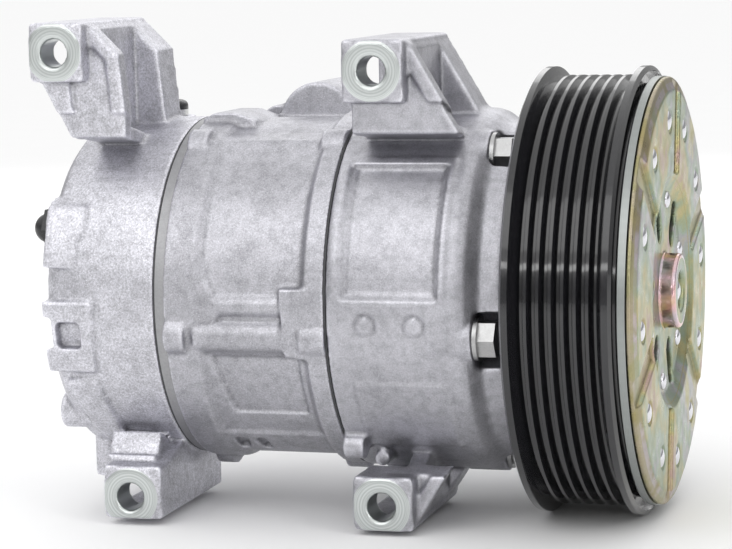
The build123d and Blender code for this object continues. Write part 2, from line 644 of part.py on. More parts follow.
groove_half = groove_pitch / 2
first_groove_x = -groove_pitch * (groove_count - 1) / 2
outline = [(-pulley_half_width, rim_inner_radius), (-pulley_half_width, flange_radius - 1.4),
           (-pulley_half_width + 0.8, flange_radius), (first_groove_x - groove_half - 0.9, flange_radius),
           (first_groove_x - groove_half, crest_radius - 0.2)]
for i in range(groove_count):
    x = first_groove_x + groove_pitch * i
    outline += [(x - 0.35, crest_radius - groove_depth), (x + 0.35, crest_radius - groove_depth)]
    if i < groove_count - 1:
        outline += [(x + groove_half - 0.45, crest_radius), (x + groove_half + 0.45, crest_radius)]
outline += [(-first_groove_x + groove_half, crest_radius - 0.2),
            (-first_groove_x + groove_half + 0.9, flange_radius), (pulley_half_width - 0.8, flange_radius),
            (pulley_half_width, flange_radius - 1.4), (pulley_half_width - 0.4, 66.0), (13.6, 65.6),
            (13.6, 62.4), (friction_face_x, 62.0), (friction_face_x, 36.0), (12.0, 34.5), (12.0, 26.0),
            (9.8, 26.0), (9.8, 28.7), (8.2, 28.7), (8.2, bearing_outer), (bearing_x[0], bearing_outer),
            (bearing_x[0], 31.2), (5.0, 31.8), (6.5, 33.5), (6.5, 56.5), (5.0, rim_inner_radius)]
slot_ring = 49.0
with BuildPart() as pulley:
    turned(*outline)
    # banana slots part the inner and outer magnetic poles of the friction face
    for i in range(6):
        with BuildSketch(Plane.YZ.offset(5.0)):
            SlotArc(CenterArc((0, 0), slot_ring, 60 * i + 6, 48), 3.4)
        extrude(amount=12.0, mode=Mode.SUBTRACT)
finish(pulley.part, "pulley")

with BuildPart() as pulley_snap_ring:
    split_ring(8.4, 9.6, 25.2, 28.5, 45)
finish(pulley_snap_ring.part, "pulley_snap_ring")

# ---- clutch: armature, hub plate, springs, rivets and centre bolt ----
armature_front_x = friction_face_x + armature_gap + armature_thickness
with BuildPart() as armature_plate:
    turned((armature_front_x - armature_thickness, armature_inner), (armature_front_x - armature_thickness, 64.0),
           (armature_front_x - armature_thickness + 0.5, armature_radius),
           (armature_front_x, armature_radius), (armature_front_x, armature_inner))
    for i in range(3):
        with BuildSketch(Plane.YZ.offset(armature_front_x - armature_thickness)):
            SlotArc(CenterArc((0, 0), 45.0, 120 * i + 15, 90), 2.6)
        extrude(amount=armature_thickness, mode=Mode.SUBTRACT)
finish(armature_plate.part, "armature_plate")


def hub_angle(step):
    """Angle of a hub feature, in steps of a sixth of a turn from the uppermost groove."""
    return 90 + hub_turn + 60 * step


rivet_ring = 51.7
inner_rivet_ring = 27.4
spring_thickness = 0.6
inner_face_x = 19.4
shaft_end_x = 17.6
bolt_seat = 19.4
outer_rivets = [on_ring(rivet_ring, hub_angle(i) + side) for i in range(6) for side in (-15, 15)]
inner_rivets = [on_ring(inner_rivet_ring, hub_angle(i)) for i in range(6)]


def spring_straps(thickness, width, x_from, mode=Mode.ADD):
    """Three leaf-spring straps, each across one third of the plate."""
    for i in range(3):
        middle = hub_angle(2 * i) + 30
        with BuildSketch(Plane.YZ.offset(x_from)) as strap:
            with Locations(Location((*on_ring(47.0, middle), 0), (0, 0, 1), 90 - middle)):
                SlotOverall(width * 4.2, width)
        extrude(strap.sketch, amount=thickness, mode=mode)


with BuildPart() as clutch_hub:
    turned((13.4, spline_radius), (13.4, nose_boss_radius), (16.4, nose_boss_radius), (16.4, 33.0),
           (17.4, 35.0), (hub_back_x, 38.0), (hub_back_x, 63.6), (hub_back_x + 0.3, hub_rim_radius),
           (hub_back_x + 1.3, hub_rim_radius), (hub_face_x - 0.3, hub_face_radius + 0.5),
           (hub_face_x, hub_face_radius), (hub_face_x, 36.0), (20.4, 32.5), (inner_face_x, 30.5),
           (inner_face_x, nose_boss_radius), (nose_boss_end_x - 0.5, nose_boss_radius),
           (nose_boss_end_x, nose_boss_radius - 0.5), (nose_boss_end_x, 6.6),
           (nose_boss_end_x - 0.8, 5.8), (bolt_seat, 5.8), (bolt_seat, 3.1), (shaft_end_x, 3.1),
           (shaft_end_x, spline_radius))
    for i in range(6):
        angle = hub_angle(i)
        # radial groove across the rim
        with BuildSketch(Plane.YZ.offset(hub_face_x - 1.5)) as groove:
            with Locations(Location((*on_ring(52.0, angle), 0), (0, 0, 1), -angle)):
                Rectangle(33.0, 8.6)
        extrude(groove.sketch, amount=2.0, mode=Mode.SUBTRACT)
        # window between the arms
        with BuildSketch(Plane.YZ.offset(16.0)) as window:
            with Locations(Location((*on_ring(24.0, angle + 30), 0), (0, 0, 1), -angle - 30)):
                SlotOverall(15.0, 8.0)
        extrude(window.sketch, amount=8.0, mode=Mode.SUBTRACT)
    bars(hub_back_x, hub_face_x, 2.2, outer_rivets, mode=Mode.SUBTRACT)
    bars(hub_face_x - 0.9, hub_face_x, 3.6, outer_rivets, mode=Mode.SUBTRACT)
    bars(16.4, inner_face_x, 2.0, inner_rivets, mode=Mode.SUBTRACT)
    spring_straps(spring_thickness + 0.3, 9.0, hub_back_x, mode=Mode.SUBTRACT)
finish(clutch_hub.part, "clutch_hub")

with BuildPart() as leaf_springs:
    spring_straps(spring_thickness, 8.0, hub_back_x + 0.15)
finish(leaf_springs.part, "leaf_springs")

rivet_rise = 0.9
with BuildPart() as hub_rivets:
    for x_foot, x_seat, shank, head, points in ((hub_back_x + 0.9, hub_face_x - 0.9, 2.2, 3.2, outer_rivets),
                                                (16.4, inner_face_x, 2.0, 2.6, inner_rivets)):
        bars(x_foot, x_seat + 0.2, shank, points)
        for y, z in points:
            with Locations(Plane(origin=(x_seat, y, z), z_dir=(1, 0, 0))):
                Cone(head, head * 0.55, rivet_rise, align=(Align.CENTER, Align.CENTER, Align.MIN))
finish(hub_rivets.part, "hub_rivets")

with BuildPart() as hub_bolt:
    bars(4.5, bolt_seat, 3.0, [(0, 0)])
    bars(bolt_seat, bolt_seat + 1.0, 5.6, [(0, 0)])
    with Locations(Plane(origin=(bolt_seat + 1.0, 0, 0), z_dir=(1, 0, 0))):
        Cone(5.2, 3.4, 3.0, align=(Align.CENTER, Align.CENTER, Align.MIN))
finish(hub_bolt.part, "hub_bolt")

# ---- shaft and lug plate, which turn together ----
lug_front_x = crankcase_front_x - thrust_washer - 2 * thrust_needle - 0.1
lug_rear_x = lug_front_x - 5.0
lug_hub_end_x = -48.0
shaft_rear_x = -112.5
shim_x = 12.6
with BuildPart() as drive_shaft:
    turned((shaft_rear_x, 0), (shaft_rear_x, shaft_radius - 0.8), (shaft_rear_x + 0.8, shaft_radius),
           (shim_x, shaft_radius), (shim_x, spline_radius), (shaft_end_x, spline_radius), (shaft_end_x, 3.0),
           (4.0, 3.0), (2.5, 0))
    turned((-84.0, 7.2), (-84.0, 9), (-82.8, 9), (-82.8, 7.2), mode=Mode.SUBTRACT)
finish(drive_shaft.part, "drive_shaft")

with BuildPart() as hub_shims:
    turned((shim_x, spline_radius), (shim_x, 9.4), (13.4, 9.4), (13.4, spline_radius))
finish(hub_shims.part, "hub_shims")

fork_end_x = -50.0
with BuildPart() as lug_plate:
    turned((lug_front_x, shaft_radius), (lug_front_x, 31.0), (lug_front_x - 1.0, 32.0),
           (lug_rear_x, 32.0), (lug_rear_x, 13.5), (lug_hub_end_x, 12.5), (lug_hub_end_x, shaft_radius))
    # two fork arms carry the turn over to the guide boss of the swash plate
    for side in (-1, 1):
        block_box((fork_end_x, lug_rear_x), sorted((side * 6.2, side * 10.8)), (12.0, 19.2))
    # balance weight opposite the fork
    end_profile([on_ring(13, -90 + a) for a in (-50, 50)] + [on_ring(31, -90 + a)
                for a in (50, 25, 0, -25, -50)], lug_rear_x - 1.6, lug_rear_x)
finish(lug_plate.part, "lug_plate")

with BuildPart() as return_spring_ring:
    split_ring(-84.0, -82.8, 7.2, 10.6, 90)
finish(return_spring_ring.part, "return_spring_ring")

spring_coils = 4
spring_wire = 0.8
spring_pitch = 2.6
with BuildPart() as return_spring:
    with BuildLine() as coil:
        Helix(spring_pitch, spring_pitch * spring_coils, 9.9, center=(-82.0, 0, 0), direction=(1, 0, 0))
    with BuildSketch(Plane(origin=coil.line @ 0, z_dir=coil.line % 0)):
        Circle(spring_wire)
    sweep(path=coil.line, is_frenet=True)
finish(return_spring.part, "return_spring")

# ---- swash plate and shoes ----
guide_boss_end_x = plate_x + plate_half + 6.0
with BuildPart() as swash_plate:
    turned((plate_x - plate_half, plate_hole + 0.6), (plate_x - plate_half, plate_radius - 0.5),
           (plate_x - plate_half + 0.5, plate_radius), (plate_x + plate_half - 0.5, plate_radius),
           (plate_x + plate_half, plate_radius - 0.5), (plate_x + plate_half, plate_hole + 0.6),
           (plate_x, plate_hole))
    block_box((plate_x, guide_boss_end_x), (-3.6, 3.6), (15.0, 20.5))
finish(swash_plate.part, "swash_plate")

shoe_gap = 0.03
shoe_latitude = asin((plate_half + shoe_gap) / shoe_ball) * 180 / pi
with BuildPart() as piston_shoes:
    for y, z in ring_points(cylinder_ring, cylinder_angles()):
        for side in (-1, 1):
            with Locations(Plane(origin=(plate_x, y, z), z_dir=(side, 0, 0))):
                Sphere(shoe_ball, arc_size1=shoe_latitude, arc_size2=90, align=None)
finish(piston_shoes.part, "piston_shoes")

# ---- single-headed pistons: a skirt in the cylinder, and a tail that straddles the swash plate ----
top_clearance = 0.6
tilt_reach = cylinder_ring * sin(radians(full_tilt))
head_x = block_rear_x + top_clearance + tilt_reach
skirt_end_x = head_x + 26.0
arm_end = 15.0
arm_half_width = 11.0
arm_inner = 9.5
slot_half = 8.0
bridge_inner = 43.3 - cylinder_ring
piston_radius = cylinder_bore - running_gap
tail_from = skirt_end_x - plate_x
tail_length = arm_end + 1 - tail_from
tail_middle = (arm_end + 1 + tail_from) / 2
for number, angle in enumerate(cylinder_angles(), start=1):
    y, z = on_ring(cylinder_ring, angle)
    out_y, out_z = on_ring(1, angle)
    tail_frame = Plane(origin=(plate_x, y, z), x_dir=(1, 0, 0), z_dir=(0, out_y, out_z))
    with BuildPart() as piston:
        bars(head_x, plate_x + arm_end, piston_radius, [(y, z)])
        with Locations(tail_frame):
            with Locations((tail_middle, arm_half_width + 10, 0), (tail_middle, -arm_half_width - 10, 0)):
                Box(tail_length, 20, 60, mode=Mode.SUBTRACT)
            with Locations((tail_middle, 0, -arm_inner - 10)):
                Box(tail_length, 60, 20, mode=Mode.SUBTRACT)
            with Locations((0, 0, bridge_inner - 20)):
                Box(2 * slot_half, 60, 40, mode=Mode.SUBTRACT)
            Sphere(pocket_ball, rotation=(0, 90, 0), mode=Mode.SUBTRACT)
    finish(piston.part, f"piston_{number}")
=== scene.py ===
"""Looks of the automotive AC compressor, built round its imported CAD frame. Metres, +X out by the clutch."""
import json
import math

import bmesh
import bpy
from mathutils import Matrix, Vector


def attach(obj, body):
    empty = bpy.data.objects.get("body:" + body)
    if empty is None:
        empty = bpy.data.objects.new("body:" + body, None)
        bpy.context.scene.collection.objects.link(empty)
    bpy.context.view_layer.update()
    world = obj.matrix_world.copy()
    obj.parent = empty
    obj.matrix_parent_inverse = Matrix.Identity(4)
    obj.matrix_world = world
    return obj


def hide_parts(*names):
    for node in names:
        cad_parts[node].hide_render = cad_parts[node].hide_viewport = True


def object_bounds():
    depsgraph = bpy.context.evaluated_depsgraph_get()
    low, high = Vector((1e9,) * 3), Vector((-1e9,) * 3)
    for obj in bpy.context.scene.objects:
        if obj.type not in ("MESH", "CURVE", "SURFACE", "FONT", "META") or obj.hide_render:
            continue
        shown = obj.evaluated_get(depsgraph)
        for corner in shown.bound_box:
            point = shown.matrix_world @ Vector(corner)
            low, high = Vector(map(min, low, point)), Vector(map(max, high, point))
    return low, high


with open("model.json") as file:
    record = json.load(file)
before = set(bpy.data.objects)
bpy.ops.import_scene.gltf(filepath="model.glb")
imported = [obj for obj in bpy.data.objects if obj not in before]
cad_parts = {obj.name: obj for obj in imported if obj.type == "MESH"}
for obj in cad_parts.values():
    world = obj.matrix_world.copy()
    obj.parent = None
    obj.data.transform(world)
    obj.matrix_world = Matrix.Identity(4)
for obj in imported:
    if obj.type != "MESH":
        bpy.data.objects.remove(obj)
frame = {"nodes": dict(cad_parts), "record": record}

MM = 0.001
cad_low, cad_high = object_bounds()
nodes = frame["nodes"]
frame_mounts = {mount["name"]: mount for mount in frame["record"]["mounts"]}
scene = bpy.context.scene
scene.view_settings.view_transform = "Standard"


# ---------------------------------------------------------------- materials
class Shader:
    """A Principled material under construction, with short calls for the nodes used below."""

    def __init__(self, name, colour, metallic, roughness, coat=0.0, coat_roughness=0.08, specular=0.5):
        self.material = bpy.data.materials.new(name)
        self.material.use_nodes = True
        self.tree = self.material.node_tree
        self.surface = self.tree.nodes["Principled BSDF"]
        self.surface.inputs["Base Color"].default_value = (*colour, 1)
        self.surface.inputs["Metallic"].default_value = metallic
        self.surface.inputs["Roughness"].default_value = roughness
        self.surface.inputs["Coat Weight"].default_value = coat
        self.surface.inputs["Coat Roughness"].default_value = coat_roughness
        self.surface.inputs["Specular IOR Level"].default_value = specular
        self.place = self.new("ShaderNodeTexCoord").outputs["Object"]

    def new(self, kind, **settings):
        node = self.tree.nodes.new(kind)
        for key, value in settings.items():
            setattr(node, key, value)
        return node

    def link(self, source, target):
        self.tree.links.new(source, target)

    def noise(self, size_mm, detail=3.0, roughness=0.5):
        """Noise whose features are about size_mm across."""
        node = self.new("ShaderNodeTexNoise")
        node.inputs["Scale"].default_value = 1 / (size_mm * MM)
        node.inputs["Detail"].default_value = detail
        node.inputs["Roughness"].default_value = roughness
        self.link(self.place, node.inputs["Vector"])
        return node.outputs["Fac"]

    def cells(self, size_mm):
        """Distance from the middles of cells about size_mm across."""
        node = self.new("ShaderNodeTexVoronoi")
        node.inputs["Scale"].default_value = 1 / (size_mm * MM)
        self.link(self.place, node.inputs["Vector"])
        return node.outputs["Distance"]

    def rings(self, distance, pitch_mm, detail):
        """Uneven rings about pitch_mm apart, from a distance in metres."""
        node = self.new("ShaderNodeTexNoise", noise_dimensions="1D")
        node.inputs["Scale"].default_value = 1 / (pitch_mm * MM)
        node.inputs["Detail"].default_value = detail
        self.link(distance, node.inputs["W"])
        return node.outputs["Fac"]

    def radius(self, centre=(0, 0, 0), axis="X"):
        """Distance from an axis through a point, in metres."""
        mapping = self.new("ShaderNodeMapping")
        across = tuple(0 if a == axis else 1 for a in "XYZ")
        mapping.inputs["Location"].default_value = tuple(-c * keep for c, keep in zip(centre, across))
        mapping.inputs["Scale"].default_value = across
        self.link(self.place, mapping.inputs["Vector"])
        length = self.new("ShaderNodeVectorMath", operation="LENGTH")
        self.link(mapping.outputs["Vector"], length.inputs[0])
        return length.outputs["Value"]

    def along(self, axis):
        """Place along an axis, in metres."""
        split = self.new("ShaderNodeSeparateXYZ")
        self.link(self.place, split.inputs["Vector"])
        return split.outputs[axis]

    def maths(self, operation, a, b):
        node = self.new("ShaderNodeMath", operation=operation)
        for socket, value in zip(node.inputs, (a, b)):
            if isinstance(value, (int, float)):
                socket.default_value = value
            else:
                self.link(value, socket)
        return node.outputs["Value"]

    def steps(self, value, *stops):
        """Colour ramp from (position, colour or grey) stops."""
        ramp = self.new("ShaderNodeValToRGB")
        elements = ramp.color_ramp.elements
        while len(elements) < len(stops):
            elements.new(0.5)
        for element, (position, colour) in zip(elements, stops):
            element.position = position
            if isinstance(colour, (int, float)):
                colour = (colour,) * 3
            element.color = (*colour, 1)
        self.link(value, ramp.inputs["Fac"])
        return ramp.outputs["Color"]

    def mix(self, how, amount, a, b):
        """Two colours mixed, each a socket, a grey or a colour."""
        node = self.new("ShaderNodeMix", data_type="RGBA", blend_type=how)
        for socket, value in ((node.inputs[0], amount), (node.inputs[6], a), (node.inputs[7], b)):
            if isinstance(value, (int, float)):
                socket.default_value = value
            elif isinstance(value, tuple):
                socket.default_value = (*value, 1)
            else:
                self.link(value, socket)
        return node.outputs[2]

    def colour(self, value):
        self.link(value, self.surface.inputs["Base Color"])

    def roughness(self, value):
        self.link(value, self.surface.inputs["Roughness"])

    def bump(self, *layers):
        """Each layer is (height, strength, depth in mm); they add up."""
        normal = None
        for height, strength, depth_mm in layers:
            node = self.new("ShaderNodeBump")
            node.inputs["Strength"].default_value = strength
            node.inputs["Distance"].default_value = depth_mm * MM
            self.link(height, node.inputs["Height"])
            if normal is not None:
                self.link(normal, node.inputs["Normal"])
            normal = node.outputs["Normal"]
        self.link(normal, self.surface.inputs["Normal"])


def ear_axis(name):
    """X and Z of the bolt axis of an ear."""
    place = frame_mounts[name]["pos_m"]
    return place[0], place[2]


COOL_CAST = (0.975, 0.970, 1.040)
FRONT_EARS = [ear_axis(name) for name in ("front_upper_ear", "front_lower_ear")]
REAR_EARS = [ear_axis(name) for name in ("rear_upper_ear", "rear_lower_ear")]
EAR_MIDDLE = frame_mounts["front_upper_ear"]["pos_m"][1]
EAR_LENGTH = frame_mounts["front_upper_ear"]["dims"]["length_mm"] * MM
SEAT_DEPTH = 0.35 * MM
SEAT_FRONT = EAR_MIDDLE - EAR_LENGTH / 2 + SEAT_DEPTH
SEAT_BACK = 3.2 * MM
SEAT_RADIUS = 8.9 * MM
BORE_RADIUS = 4.7 * MM


def cast_material(name, tone, roughness, grain_mm, grain, sparkle, ears=()):
    """Die-cast aluminium after blasting, with turned seats and bores round the ears' bolt axes.

    Grey with bright and dark grains, soft clouds, painted shade that darkens the creases, and lighter sharp
    outer edges.
    Each ear is (x, z) in metres.
    """
    s = Shader(name, (tone, tone, tone), 0.95, roughness)
    grains = s.noise(grain_mm, detail=4, roughness=0.75)
    blotches = s.noise(3.2, detail=4, roughness=0.65)
    clouds = s.noise(17, detail=3, roughness=0.55)
    flecks = s.cells(grain_mm * 1.5)
    tint = s.steps(grains, (0.32, tone * (1 - grain)), (0.5, tone), (0.68, min(1, tone * (1 + grain))))
    tint = s.mix("MULTIPLY", 0.8, tint, s.steps(blotches, (0.34, 0.76), (0.56, 1.0)))
    tint = s.mix("MULTIPLY", 0.8, tint, s.steps(clouds, (0.36, 0.80), (0.62, 1.0)))
    glint = s.maths("LESS_THAN", flecks, 0.16)
    tint = s.mix("MIX", s.maths("MULTIPLY", glint, sparkle), tint, (1.0, 1.0, 1.0))
    # Painted shade: darker in creases, where pointiness is low. Sharp outer edges, where pointiness is high,
    # are made lighter.
    shape = s.new("ShaderNodeNewGeometry").outputs["Pointiness"]
    tint = s.mix("MULTIPLY", 0.95, tint, s.steps(shape, (0.43, 0.34), (0.492, 1.0)))
    tint = s.mix("ADD", 0.6, tint, s.steps(shape, (0.513, 0.0), (0.575, 0.46)))
    tint = s.mix("MULTIPLY", 1.0, tint, COOL_CAST)
    rough = s.steps(grains, (0.3, roughness + 0.10), (0.7, roughness - 0.10))
    cast_height = s.noise(grain_mm * 1.3, detail=5, roughness=0.75)
    swell = s.noise(5.0, detail=3)
    if ears:
        near, other = [s.radius((x, 0, z), "Y") for x, z in ears]
        near = s.maths("MINIMUM", near, other)
        depth = s.along("Y")
        on_face = s.maths("MAXIMUM", s.maths("LESS_THAN", depth, SEAT_FRONT),
                          s.maths("GREATER_THAN", depth, SEAT_BACK))
        on_seat = s.maths("MULTIPLY", s.maths("LESS_THAN", near, SEAT_RADIUS), on_face)
        cut = s.maths("MAXIMUM", on_seat, s.maths("LESS_THAN", near, BORE_RADIUS))
        turned = s.rings(near, 0.45, 3)
        turned_tint = s.steps(turned, (0.36, (0.50, 0.53, 0.52)), (0.64, (0.66, 0.69, 0.68)))
        tint = s.mix("MIX", cut, tint, turned_tint)
        rough = s.mix("MIX", cut, rough, s.steps(turned, (0.3, 0.34), (0.7, 0.28)))
        uncut = s.maths("SUBTRACT", 1.0, cut)
        cast_height = s.maths("ADD", s.maths("MULTIPLY", cast_height, uncut),
                              s.maths("MULTIPLY", turned, s.maths("MULTIPLY", cut, 0.10)))
    s.colour(tint)
    s.roughness(rough)
    s.bump((swell, 0.35, 0.22), (cast_height, 0.75, 0.13))
    return s.material


def turned_material(name, colour, roughness, pitch_mm):
    """Machined metal: fine tool rings round the shaft's axis."""
    s = Shader(name, colour, 1.0, roughness)
    value = s.rings(s.radius(), pitch_mm, 2)
    dark = tuple(c * 0.78 for c in colour)
    s.colour(s.steps(value, (0.35, dark), (0.65, colour)))
    s.roughness(s.steps(value, (0.3, roughness + 0.1), (0.7, roughness - 0.05)))
    s.bump((value, 0.3, 0.03), (s.noise(0.5, detail=3), 0.08, 0.03))
    return s.material


def plain_metal(name, colour, roughness, grain_mm=0.6, metallic=1.0):
    """Metal with a fine grain and an uneven gloss."""
    s = Shader(name, colour, metallic, roughness)
    grains = s.noise(grain_mm, detail=4, roughness=0.6)
    s.colour(s.steps(grains, (0.3, tuple(c * 0.86 for c in colour)), (0.7, colour)))
    s.roughness(s.steps(s.noise(3.0, detail=4), (0.3, roughness - 0.04), (0.7, roughness + 0.08)))
    s.bump((grains, 0.15, 0.03))
    return s.material


def gloss_black(name):
    """Thick black coating over a turned pulley."""
    s = Shader(name, (0.010, 0.010, 0.012), 0.0, 0.14, coat=0.8, coat_roughness=0.06, specular=0.35)
    dust = s.noise(0.9, detail=5, roughness=0.7)
    s.colour(s.steps(dust, (0.45, (0.010, 0.010, 0.012)), (0.75, (0.022, 0.022, 0.024))))
    s.roughness(s.steps(s.noise(2.5, detail=4), (0.3, 0.12), (0.7, 0.24)))
    s.bump((s.noise(1.4, detail=2), 0.10, 0.06))
    return s.material


NOSE_FROM_X = 19.6 * MM
NOSE_OUTER = 12.2 * MM
NOSE_INNER = 9.9 * MM
SIDE_BAND_FROM = 60.6 * MM
GROOVE_BELOW_X = 21.5 * MM
DISH_RADIUS = 34.0 * MM


def zinc_yellow(name, roughness):
    """Yellow-passivated zinc: patches of olive, straw, pink and lilac.

    The side band is lilac and brown, the grooves are straw, and the nose is a rosy gold.
    """
    s = Shader(name, (0.42, 0.40, 0.26), 0.95, roughness)
    drift = s.noise(30, detail=2, roughness=0.5)
    patches = s.noise(8.5, detail=3, roughness=0.55)
    film = s.maths("ADD", s.maths("MULTIPLY", drift, 0.6), s.maths("MULTIPLY", patches, 0.4))
    tint = s.steps(film, (0.36, (0.42, 0.30, 0.26)), (0.43, (0.45, 0.40, 0.20)), (0.48, (0.34, 0.37, 0.23)),
                   (0.53, (0.31, 0.38, 0.30)), (0.58, (0.38, 0.37, 0.38)), (0.65, (0.45, 0.42, 0.22)))
    streaks = s.noise(11, detail=2, roughness=0.5)
    warm = s.steps(streaks, (0.38, (0.34, 0.28, 0.16)), (0.48, (0.52, 0.44, 0.47)),
                   (0.55, (0.50, 0.42, 0.46)), (0.63, (0.38, 0.38, 0.26)))
    gold = s.steps(streaks, (0.40, (0.66, 0.50, 0.20)), (0.50, (0.80, 0.50, 0.52)),
                   (0.60, (0.66, 0.56, 0.62)))
    out = s.radius()
    height = s.along("X")
    on_wall = s.maths("MULTIPLY", s.maths("LESS_THAN", out, NOSE_OUTER),
                      s.maths("GREATER_THAN", out, NOSE_INNER))
    nose = s.maths("MULTIPLY", s.maths("GREATER_THAN", height, NOSE_FROM_X), on_wall)
    tint = s.mix("MIX", s.maths("MULTIPLY", s.maths("GREATER_THAN", out, SIDE_BAND_FROM), 0.75), tint, warm)
    tint = s.mix("MIX", s.maths("MULTIPLY", nose, 0.9), tint, gold)
    straw = s.maths("MULTIPLY", s.maths("LESS_THAN", height, GROOVE_BELOW_X),
                    s.maths("GREATER_THAN", out, DISH_RADIUS))
    tint = s.mix("MIX", s.maths("MULTIPLY", straw, 0.6), tint, (0.36, 0.31, 0.14))
    # Painted shade: darker in creases, where pointiness is low.
    shape = s.new("ShaderNodeNewGeometry").outputs["Pointiness"]
    tint = s.mix("MULTIPLY", 0.9, tint, s.steps(shape, (0.43, 0.5), (0.49, 1.0)))
    speck = s.steps(s.noise(0.5, detail=3), (0.32, 0.82), (0.6, 1.0))
    s.colour(s.mix("MULTIPLY", 0.7, tint, speck))
    rough = s.steps(s.noise(4, detail=4), (0.3, roughness - 0.05), (0.7, roughness + 0.12))
    s.roughness(s.mix("MIX", nose, rough, (0.20, 0.20, 0.20)))
    s.bump((s.noise(0.8, detail=4), 0.12, 0.04), (s.noise(9, detail=2), 0.15, 0.25))
    return s.material


def plastic(name, colour, roughness):
    """Moulded plastic or rubber with a fine matt grain."""
    s = Shader(name, colour, 0.0, roughness)
    fine = s.noise(0.35, detail=2)
    s.colour(s.steps(s.noise(6, detail=3), (0.35, tuple(c * 0.8 for c in colour)), (0.7, colour)))
    s.roughness(s.steps(fine, (0.3, roughness - 0.05), (0.7, roughness + 0.08)))
    s.bump((fine, 0.2, 0.02))
    return s.material


cast_front = cast_material("cast_front", 0.54, 0.40, 0.45, 0.18, 0.25, FRONT_EARS)
cast_block = cast_material("cast_block", 0.53, 0.43, 0.50, 0.24, 0.35)
cast_rear = cast_material("cast_rear", 0.67, 0.46, 0.60, 0.34, 0.55, REAR_EARS)
machined = turned_material("machined_aluminium", (0.80, 0.80, 0.80), 0.28, 0.35)
shaft_steel = turned_material("turned_steel", (0.60, 0.60, 0.61), 0.25, 0.5)
bright_steel = plain_metal("bright_steel", (0.72, 0.72, 0.73), 0.16)
armature_steel = turned_material("armature_steel", (0.38, 0.40, 0.39), 0.34, 0.25)
plate_steel = plain_metal("plate_steel", (0.40, 0.40, 0.41), 0.50)
bolt_steel = plain_metal("bolt_steel", (0.50, 0.50, 0.50), 0.32)
pulley_black = gloss_black("pulley_black")
hub_zinc = zinc_yellow("yellow_zinc", 0.3)
gasket_dark = plastic("gasket_rubber", (0.05, 0.05, 0.055), 0.6)
black_plastic = plastic("black_plastic", (0.018, 0.018, 0.02), 0.28)
seal_rubber = plastic("seal_rubber", (0.03, 0.03, 0.03), 0.55)
coil_copper = plain_metal("coil_copper", (0.72, 0.36, 0.20), 0.35, grain_mm=0.4)
coil_paint = plain_metal("coil_paint", (0.05, 0.05, 0.055), 0.4, metallic=0.3)
piston_coat = turned_material("piston_aluminium", (0.74, 0.74, 0.75), 0.3, 0.4)
chrome = plain_metal("rivet_chrome", (0.78, 0.78, 0.82), 0.10)

LOOKS = {
    "front_housing": cast_front, "cylinder_block": cast_block, "rear_head": cast_rear,
    "pulley": pulley_black, "coil_shell": coil_paint, "coil_winding": coil_copper,
    "clutch_hub": hub_zinc, "leaf_springs": bright_steel, "hub_rivets": bright_steel,
    "hub_bolt": bright_steel, "armature_plate": armature_steel, "valve_plate": plate_steel,
    "suction_reed_plate": plate_steel, "through_bolts": bolt_steel,
    "head_gasket": gasket_dark, "housing_gasket": gasket_dark, "relief_valve": black_plastic,
    "valve_connector": black_plastic, "control_valve": machined, "shaft_seal": seal_rubber,
    "bearing_seals": seal_rubber, "drive_shaft": shaft_steel,
}
for name, node in nodes.items():
    look = LOOKS.get(name, piston_coat if name.startswith("piston_") else shaft_steel)
    node.data.materials.clear()
    node.data.materials.append(look)


# ---------------------------------------------------------------- mesh tools
def new_piece(name, mesh, material, body):
    """A smooth-shaded piece that rides on a body and takes the material it is given."""
    mesh.name = name
    mesh.shade_smooth()
    piece = bpy.data.objects.new(name, mesh)
    scene.collection.objects.link(piece)
    mesh.materials.clear()
    mesh.materials.append(material)
    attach(piece, body)
    return piece


def hull_block(shape, outline, low_x, high_x):
    """Convex block of a (y, z) outline in mm between two end lines, each (x at z 0, x per mm of z)."""
    corners = [shape.verts.new(Vector((x + lean * z, y, z)) * MM)
               for x, lean in (low_x, high_x) for y, z in outline]
    bmesh.ops.convex_hull(shape, input=corners)


def softened(node_name, piece_name, material, body, voxel_mm, rounds, blocks=()):
    """A casting or stamping: the CAD shape remeshed and relaxed, so that every edge gets a small radius."""
    rough_mesh = nodes[node_name].data.copy()
    shape = bmesh.new()
    shape.from_mesh(rough_mesh)
    for block in blocks:
        hull_block(shape, *block)
    shape.to_mesh(rough_mesh)
    shape.free()
    rough = bpy.data.objects.new("rough", rough_mesh)
    scene.collection.objects.link(rough)
    remesh = rough.modifiers.new("remesh", "REMESH")
    remesh.mode = "VOXEL"
    remesh.voxel_size = voxel_mm * MM
    relax = rough.modifiers.new("relax", "SMOOTH")
    relax.factor = 0.5
    relax.iterations = rounds
    mesh = bpy.data.meshes.new_from_object(rough.evaluated_get(bpy.context.evaluated_depsgraph_get()))
    bpy.data.objects.remove(rough)
    piece = new_piece(piece_name, mesh, material, body)
    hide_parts(node_name)


# Feet of the ears' near plates, down to the body: (y, z) outline, low x line and high x line. They stay
# out of the ears' bores, the hollows behind the lugs and the gaps between the plates.
FRONT_FEET = (
    ([(-44, 64), (-44, 50.6), (-38.9, 49.6), (-38.9, 64)], (-64.5, 0), (-0.8, -0.62)),
    ([(-44, 50.6), (-27, 48.0), (-19, 50.0), (-38.9, 55.2)], (-64.5, 0), (-4.4, -0.62)),
)
REAR_FEET = (
    ([(-44, 59), (-44, 49.8), (-38.9, 48.6), (-38.9, 59)], (-128.3, -0.5), (-135.2, 0)),
    ([(-44, 49.8), (-26, 46.8), (-17, 48.6), (-38.9, 53.6)], (-128.3, -0.5), (-137.6, 0)),
    ([(-44, -53.4), (-39, -53.4), (-39, -49), (-43, -47)], (-145.6, 0), (-129.6, 0)),
    ([(-43, -51), (-39, -51), (-30, -45), (-37, -41)], (-145.6, 0), (-129.6, 0)),
)
CAST_VOXEL_MM = 0.7
HUB_VOXEL_MM = 0.45
